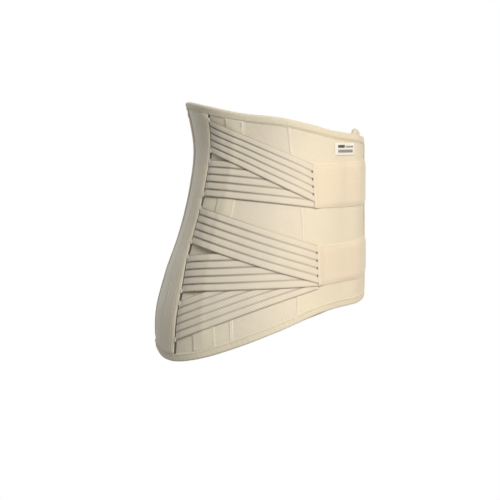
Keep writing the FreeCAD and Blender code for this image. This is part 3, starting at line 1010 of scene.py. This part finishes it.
def make_strap(side, number):
    """A ribbed strap from the back seam to the hinge seam, with the tacks at its back corners and dark
    dots of painted shade where its grooves end at the front seam.
    """
    back_top, front_top, back_width, front_width, stand_off = STRAPS[number]
    high = strap_edge(back_top, front_top)
    low = strap_edge(back_top - back_width, front_top - front_width)
    across, rib = rib_profile()
    stations = 96
    s = np.linspace(0, 1, stations)[:, None]
    share = (across / STRAP_WIDTH)[None, :]
    back, front = seam(STRAP_SEAM, 1.4), (lambda z: hinge_angle(z) + 0.1)
    z = np.full((stations, len(across)), float(back_top - back_width / 2))
    for _ in range(6):
        angle = back(z) + s * (front(z) - back(z))
        z = low(angle) + share * (high(angle) - low(angle))
    # Up to the stand-off at the back, half down again at the front; ribs pressed flat at both ends.
    climb = ease(s, 0.0, 0.16) - 0.5 * ease(s, 0.78, 1.0)
    flattened = 1 - 0.7 * ease(s, 0.05, 0.0) - 0.3 * ease(s, 0.3, 0.9) - 0.3 * ease(s, 0.86, 1.0)
    depth = STRAP_UNDER + stay_ridge(angle, z) + stand_off * climb + rib[None, :] * flattened
    rings = place(SIDES[side] * angle, z, depth)
    along = running(rings[:, 20:21]) + WEAVE_START.get(number, 0)
    uv = np.stack([along + 0 * z, across[None, :] + 0 * z], -1)
    node = f"strap_{number}_{side}"
    piece = tube(node + "_webbing", rings, uv, "strap")
    rides(piece, ["back", side + "_front"], [node])
    level = TACK_LEVEL + 0.5 * stand_off
    # Painted shade: dark thread dots where the grooves end at the front seam.
    for rib_edge in range(1, RIBS):
        z_end = front_top - front_width * (1 - rib_edge / RIBS)
        angle_end = float(hinge_angle(z_end)) - 0.55
        RIB_END_SHADE_DOTS[side + "_front"].append(bartack(side, angle_end, z_end, level, 1.7))
    for z_end in (back_top - 1.6, back_top - back_width + 1.6):
        angle_end = float(seam(STRAP_SEAM, 0.8)(z_end))
        CORNERS.append(bartack(side, angle_end, z_end, TACK_LEVEL, 3.6))


# ---------------------------------------------------------------- bindings

def binding_profile():
    """The tape folded over the edge: pairs of an offset and a distance in from the edge."""
    inside, outside, thick = -0.7, 4.0, 0.55
    middle, half = (outside + inside) / 2, (outside - inside) / 2
    turn = np.radians(np.linspace(0, 180, 9))
    fold = np.stack([middle + half * np.cos(turn), 1.5 - 1.5 * np.sin(turn)], -1)
    inner = np.stack([middle + (half - thick) * np.cos(turn), 1.9 - 1.3 * np.sin(turn)], -1)
    leg = np.array([0.25, 0.6, 0.9, 1.0]) * BINDING_REACH
    bulge = np.array([0.1, 0.1, -0.05, -0.43])
    outer_leg = np.stack([outside + bulge, leg], -1)
    inner_leg = np.stack([inside - bulge * 0.5, leg], -1)
    tip_out = [(outside - thick * 0.95, BINDING_REACH + 0.1)]
    tip_in = [(inside + thick * 0.7, BINDING_REACH + 0.05)]
    return np.concatenate([outer_leg[::-1], fold, inner_leg, tip_in, inner[::-1], tip_out])


def along_path(path, spacing):
    """Evenly spaced places along a path of angles and heights."""
    angle, z = np.array(path, float).T
    walked = running(skin(angle, z))
    at = np.linspace(0, walked[-1], int(walked[-1] / spacing))
    return np.interp(at, walked, angle), np.interp(at, walked, z), at


def binding(name, side, path, extra=no_lift, picot=0.35):
    """A folded elastic tape along a path, with the small scallops of its knit."""
    sign = SIDES[side]
    angle, z, at = along_path(path, 1.25)
    centres = place(sign * angle, z, extra(angle))
    along = unit(np.gradient(centres, axis=0))
    out = outward(sign * angle, z)
    inwards = unit(np.cross(along, out)) * sign
    out = unit(np.cross(inwards, along)) * sign
    loop = binding_profile()
    offset, distance = loop[None, :, 0], loop[None, :, 1]
    scallop = picot * np.abs(np.sin(math.pi * at / 6.4))[:, None] - picot / 2
    near_edge = np.clip(1 - distance / 3, 0, 1)
    gathers = np.sin(at * 1.1) * (0.6 + 0.4 * np.sin(at * 0.13))
    away = ease(distance, 0.5, 2.5) * ease(distance, BINDING_REACH, BINDING_REACH - 2)
    offsets = offset + 0.14 * gathers[:, None] * away * np.sign(offset - 1.7)
    reaches = distance - scallop * near_edge
    rings = (centres[:, None] + out[:, None] * offsets[..., None]
             + inwards[:, None] * reaches[..., None])
    around = running(np.concatenate([loop, loop[:1]]))[:-1]
    uv = np.stack([at[:, None] + 0 * reaches, around[None, :] + 0 * reaches], -1)
    piece = tube(name, rings, uv, "binding")
    rows = zigzag_row(centres, along, out, inwards, at, BINDING_REACH - 2.2, 4.2)
    return piece, rows


def zigzag_row(centres, along, out, inwards, at, reach, level):
    """Stitch places of a zigzag along a binding, reach in from its edge and level outwards."""
    spots = np.arange(2, at[-1] - 2, 1.9)
    ahead, up, down = (unit(along_line(spots, at, way)) for way in (along, out, inwards))
    lean = np.where(np.arange(len(spots)) % 2, 1.0, -1.0)[:, None]
    return along_line(spots, at, centres) + up * level + down * reach, ahead + down * lean * 0.8, up


def make_back_bindings():
    """The bindings along the top and bottom, from the one front gusset seam to the other."""
    for name, edge, height, picot in (("top", top_edge, 50, 0.35), ("bottom", bottom_edge, -200, 0.1)):
        end = 0.0
        for _ in range(4):
            end = float(smooth(GUSSET_FRONT, float(edge(end)) if end else height))
        angles = np.linspace(-end, end, 121)
        if name == "bottom":
            angles = angles[::-1]
        path = [(a, float(edge(a))) for a in angles]
        piece, stitches = binding(name + "_binding_tape", "right", path, picot=picot)
        rides(piece, ["back"], [name + "_binding"])
        STITCHES["back"].append(stitches)


# ---------------------------------------------------------------- the front panels

def rounding(angle, radius, end):
    """How much a free corner's round takes off the height of a free end."""
    reach = radius / FRONT_MM_PER_DEGREE
    q = np.clip((angle - end + reach) / reach, 0, 1)
    return radius * (1 - np.sqrt(1 - q * q))


def front_edges(side, inset, start):
    """Edges of a front layer that stays a distance inside the panel's outline."""
    end = FLAP_END - inset / FRONT_MM_PER_DEGREE
    radius = CORNER_RADIUS - inset

    def high(angle):
        return top_edge(angle) + rise(side, angle) - inset - rounding(angle, radius, end)

    def low(angle):
        return bottom_edge(angle) + inset + rounding(angle, radius, end)

    return start, fixed(end), low, high


def make_front(side):
    """A front panel with its lining, foam and folded edge binding."""
    extra = STAND_OFF[side]
    body = side + "_front"
    start = seam(GUSSET_FRONT)
    layers = {
        "front_panel": (SHELL, "panel", "panel_fabric",
                        [f"front_panel_{side}", f"side_front_panel_{side}"]),
        "front_lining": (LINING, "lining", "lining_knit", [f"front_lining_{side}"]),
    }
    for name, ((inner, outer), material, slot, nodes) in layers.items():
        piece = cloth(f"{name}_cloth_{side}", side, front_edges(side, EDGE_INSET, start), outer,
                      inner, material, 100, 80, corner=0.11, extra=extra)
        rides(declare_sheet(piece), ["back", body], nodes)
    foam = cloth(f"front_foam_sheet_{side}", side,
                 front_edges(side, BINDING_REACH + 3, lambda z: hinge_angle(z) + 4), FOAM[1], FOAM[0],
                 "foam", 40, 40, corner=0.08, extra=extra)
    rides(foam, [body], [f"front_foam_{side}"])
    piece, stitches = binding(f"front_edge_binding_tape_{side}", side, front_path(side), extra)
    rides(piece, ["back", body], [f"front_edge_binding_{side}"])
    STITCHES[body].append(stitches)


def front_path(side):
    """Along the top edge, round the free end, and back along the bottom edge."""
    reach = CORNER_RADIUS / FRONT_MM_PER_DEGREE
    turn = FLAP_END - reach
    first = float(smooth(GUSSET_FRONT, 30.0))
    last = float(smooth(GUSSET_FRONT, -185.0))
    path = []
    for angle in np.linspace(first, turn, 60):
        path.append((angle, float(top_edge(angle) + rise(side, angle))))
    for a in np.linspace(0, QUARTER_TURN, 13)[1:]:
        angle = turn + reach * math.sin(a)
        drop = CORNER_RADIUS * (1 - math.cos(a))
        path.append((angle, float(top_edge(angle) + rise(side, angle)) - drop))
    low = float(bottom_edge(FLAP_END)) + CORNER_RADIUS
    high = path[-1][1]
    for z in np.linspace(high, low, 30)[1:]:
        path.append((FLAP_END, z))
    for a in np.linspace(QUARTER_TURN, 0, 13)[1:]:
        angle = turn + reach * math.sin(a)
        path.append((angle, float(bottom_edge(angle)) + CORNER_RADIUS * (1 - math.cos(a))))
    for angle in np.linspace(turn, last, 60)[1:]:
        path.append((angle, float(bottom_edge(angle))))
    return path


def make_closure():
    """Hooks inside the outer front panel, and loops outside the inner one."""
    margin = BINDING_REACH + 1.5
    ends = fixed(FLAP_END - 7), low_edge(margin), high_edge(margin)
    hook = cloth("closure_hook_strip_tape", "right", (fixed(CLOSURE_START["right"]), *ends),
                 HOOK[1], HOOK[0], "hook", 24, 60, extra=lift)
    rides(hook, ["right_front"], ["closure_hook_strip"])
    loop = cloth("closure_loop_panel_pile", "left", (fixed(CLOSURE_START["left"]), *ends),
                 LOOP[1], LOOP[0], "loop", 30, 60)
    rides(loop, ["left_front"], ["closure_loop_panel"])


# ---------------------------------------------------------------- tension tabs and label

def make_tab(side, name):
    """A tension tab sewn over the straps' front ends, with its hook tape and stitches."""
    (seam_top, seam_bottom), (tip_top, tip_bottom) = TABS[name]
    extra = STAND_OFF[side]
    start = float(hinge_angle((seam_top + seam_bottom) / 2))
    end = TAB_END[side]
    sewn_flat, laid_down, thickness, corner_radius = 4.75, 4.0, 1.05, 7.0
    over_straps = 6.25 if name == "upper" else 7.0

    def line(at_seam, at_tip, angle):
        return at_seam + (at_tip - at_seam) * (angle - start) / (TAB_END["right"] - start)

    def edges(inset, tip_inset, overlap):
        stop = end - tip_inset / FRONT_MM_PER_DEGREE

        def high(angle):
            return line(seam_top, tip_top, angle) - inset - rounding(angle, corner_radius, stop)

        def low(angle):
            return (line(seam_bottom, tip_bottom, angle) + inset
                    + rounding(angle, corner_radius, stop))

        return (lambda z: hinge_angle(z) - overlap + inset / 2), fixed(stop), low, high

    def beside(angle, z):
        """1 on the tab's long edges, which lie down on the front panel, and 0 away from them."""
        from_edge = np.minimum(line(seam_top, tip_top, angle) - z,
                               z - line(seam_bottom, tip_bottom, angle))
        return 1 - ease(from_edge, 0, 6)

    def top(angle, z):
        past = angle - hinge_angle(z)
        sewn = sewn_flat + (over_straps - sewn_flat) * (1 - ease(past, 0.4, 5))
        flat = sewn + 0.75 * ease(past, 9, 22) - 0.6 * (1 - ease(past, -0.6, 4.0))
        return flat - (flat - laid_down) * beside(angle, z) * ease(past, 0.5, 6)

    def under(angle, z):
        past = angle - hinge_angle(z)
        thick = thickness - 0.5 * beside(angle, z)
        return top(angle, z) - thick + 0.65 * (thick / thickness) * (1 - ease(past, -0.4, 3))

    def thread_level(angle, z):
        return top(angle, z) + 0.02

    node = f"{side}_{name}_tab"
    piece = cloth(node + "_cloth", side, edges(0, 0, 0.15), top, under,
                  "tab", 70, 36, corner=0.055, extra=extra)
    rides(piece, [node], [node])
    hook = cloth(node + "_hook_tape", side, edges(6, 9, -14), TAB_HOOK[1], TAB_HOOK[0],
                 "hook", 50, 24, corner=0.055, extra=extra)
    rides(hook, [node], [node + "_hook"])
    angles = np.linspace(start + 1.5, end - 3, 50)
    at_tip = np.linspace(line(seam_top, tip_top, end) - 6, line(seam_bottom, tip_bottom, end) + 6,
                         20)
    at_seam = np.linspace(seam_top - 3, seam_bottom + 3, 20)
    lines = [
        (angles, line(seam_top, tip_top, angles) - 2.2),
        (angles, line(seam_bottom, tip_bottom, angles) + 2.2),
        (np.full(20, end - 1.6), at_tip),
        (hinge_angle(at_seam) + 1.6, at_seam),
    ]
    rows = [seam_places(side, *line_places, thread_level, extra=extra) for line_places in lines]
    rides(sew(node + "_stitching", rows, "thread"), [node])


def make_label():
    """A small woven label with plain bars in place of its printing."""
    slope, start = 0.12, 131

    def patch(name, first, last, low, high, layer, material, columns=24, rows=14):
        return cloth(name, "right",
                     (fixed(first), fixed(last), lambda a: low + (a - start) * slope,
                      lambda a: high + (a - start) * slope),
                     layer[1], layer[0], material, columns, rows, extra=lift)

    label = patch("woven_label_cloth", 132.5, 155.5, -5, 8.4, LABEL, "label")
    rides(label, ["right_front"], ["woven_label"])
    bars = [(135.5, 143.5, 3.4, 6.4, "label_dark"), (144.5, 153.5, 3.6, 5.4, "label_grey"),
            (135.5, 153.0, -1.9, 1.4, "label_grey")]
    bars = [patch("bar", *sides, LABEL_BARS, material, 14, 6) for *sides, material in bars]
    rides(join("woven_label_bars", bars), ["right_front"])
    for angle in (133.2, 154.8):
        z = np.linspace(-4, 7.4, 20) + (angle - start) * slope
        places = seam_places("right", np.full(20, angle), z, LABEL[1] + 0.05, 1.5, extra=lift)
        TACKS["right_front"].append(places)


# ---------------------------------------------------------------- assembly

make_back()
make_lumbar_pad()
make_back_bindings()
make_closure()
make_label()
for each_side in SIDES:
    make_side(each_side)
    for arc, place_name in zip(BACK_STAY_ARCS, ("inner", "outer")):
        make_channel(each_side, arc, f"stay_channel_{place_name}_{each_side}")
    for strap_number in STRAPS:
        make_strap(each_side, strap_number)
    make_front(each_side)
    for tab_name in TABS:
        make_tab(each_side, tab_name)

for body, rows in STITCHES.items():
    bodies = [body] if body == "back" else ["back", body]
    rides(sew("stitching_" + body, rows, "thread"), bodies)
for body, rows in TACKS.items():
    if rows:
        rides(sew("bartacks_" + body, rows, "tack", 2.0, 0.26), [body])
rides(sew("strap_corner_tacks", CORNERS, "tack", 3.0, 0.4), ["back"])
# Painted shade: the dark dots at the front ends of the strap grooves.
for body, rows in RIB_END_SHADE_DOTS.items():
    rides(sew("rib_end_shade_dots_" + body, rows, "painted_rib_end_shade", 2.3, 0.36), ["back", body])

for node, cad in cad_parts.items():
    if "stay" in node and "channel" not in node:
        material = MATERIALS["plastic" if node.startswith("front") else "steel"]
        cad.data.materials.clear()
        cad.data.materials.append(material)


# ---------------------------------------------------------------- studio and camera

def emitter(name, colour, strength):
    material = bpy.data.materials.new(name)
    material.use_nodes = True
    tree = material.node_tree
    tree.nodes.clear()
    glow = tree.nodes.new("ShaderNodeEmission")
    glow.inputs["Color"].default_value = (*colour, 1)
    glow.inputs["Strength"].default_value = strength
    out = tree.nodes.new("ShaderNodeOutputMaterial")
    tree.links.new(glow.outputs[0], out.inputs[0])
    return material


def make_studio():
    """A white dome that only the camera sees, a pale floor well below, and soft lights."""
    bpy.ops.mesh.primitive_uv_sphere_add(segments=48, ring_count=24, radius=6)
    dome = bpy.context.object
    dome.name = "studio_dome"
    dome.data.materials.append(emitter("studio_white", (1, 1, 1), 1.0))
    for ray in ("visible_diffuse", "visible_glossy", "visible_transmission", "visible_shadow"):
        setattr(dome, ray, False)
    bpy.ops.mesh.primitive_circle_add(vertices=96, radius=1.9, fill_type="NGON", location=(0, 0, -0.9))
    floor = bpy.context.object
    floor.name = "studio_floor"
    pale = Nodes("studio_floor_paint")
    grain = pale.noise(30, 4)
    pale.dye(grain, (0.86, 0.86, 0.85), (0.9, 0.9, 0.89))
    pale.set(Roughness=0.8, Emission_Color=(1, 1, 1, 1), Emission_Strength=0.4)
    floor.data.materials.append(pale.material)
    floor.visible_diffuse = False
    world = bpy.data.worlds.new("studio_world")
    world.use_nodes = True
    sky = world.node_tree.nodes["Background"]
    sky.inputs["Color"].default_value = (0.975, 0.985, 1.0, 1)
    sky.inputs["Strength"].default_value = 0.32
    bpy.context.scene.world = world
    lamp("key", (-1.75, -1.25, 1.1), 1.3, 40.5, (1.0, 0.98, 0.93))
    lamp("front", (0.2, -2.1, 0.3), 1.0, 11, (1.0, 0.74, 0.45))
    lamp("fill", (1.7, 1.45, 0.5), 1.4, 15, (0.98, 0.98, 1.0))


def lamp(name, spot, size, power, colour):
    data = bpy.data.lights.new(name, "AREA")
    data.shape = "DISK"
    data.size = size
    data.energy = power
    data.color = colour
    light = bpy.data.objects.new(name, data)
    light.location = spot
    light.rotation_euler = (Vector((0, 0, -0.08)) - Vector(spot)).to_track_quat("-Z", "Y").to_euler()
    bpy.context.scene.collection.objects.link(light)


def make_camera():
    """The viewer stands off the wearer's right side, a little to the front, at belt height."""
    azimuth = math.radians(-80)
    distance = 1.5
    right = Vector((math.cos(azimuth), math.sin(azimuth), 0))
    towards = Vector((math.sin(azimuth), -math.cos(azimuth), 0))
    data = bpy.data.cameras.new("camera")
    data.sensor_width = 36
    data.lens = 93.9
    camera = bpy.data.objects.new("camera", data)
    camera.location = towards * distance + Vector((0, 0, -0.087))
    target = right * -0.0339 + Vector((0, 0, -0.1077))
    camera.rotation_euler = (target - camera.location).to_track_quat("-Z", "Y").to_euler()
    bpy.context.scene.collection.objects.link(camera)
    bpy.context.scene.camera = camera
    bpy.context.scene.view_settings.view_transform = "Standard"


make_studio()
make_camera()
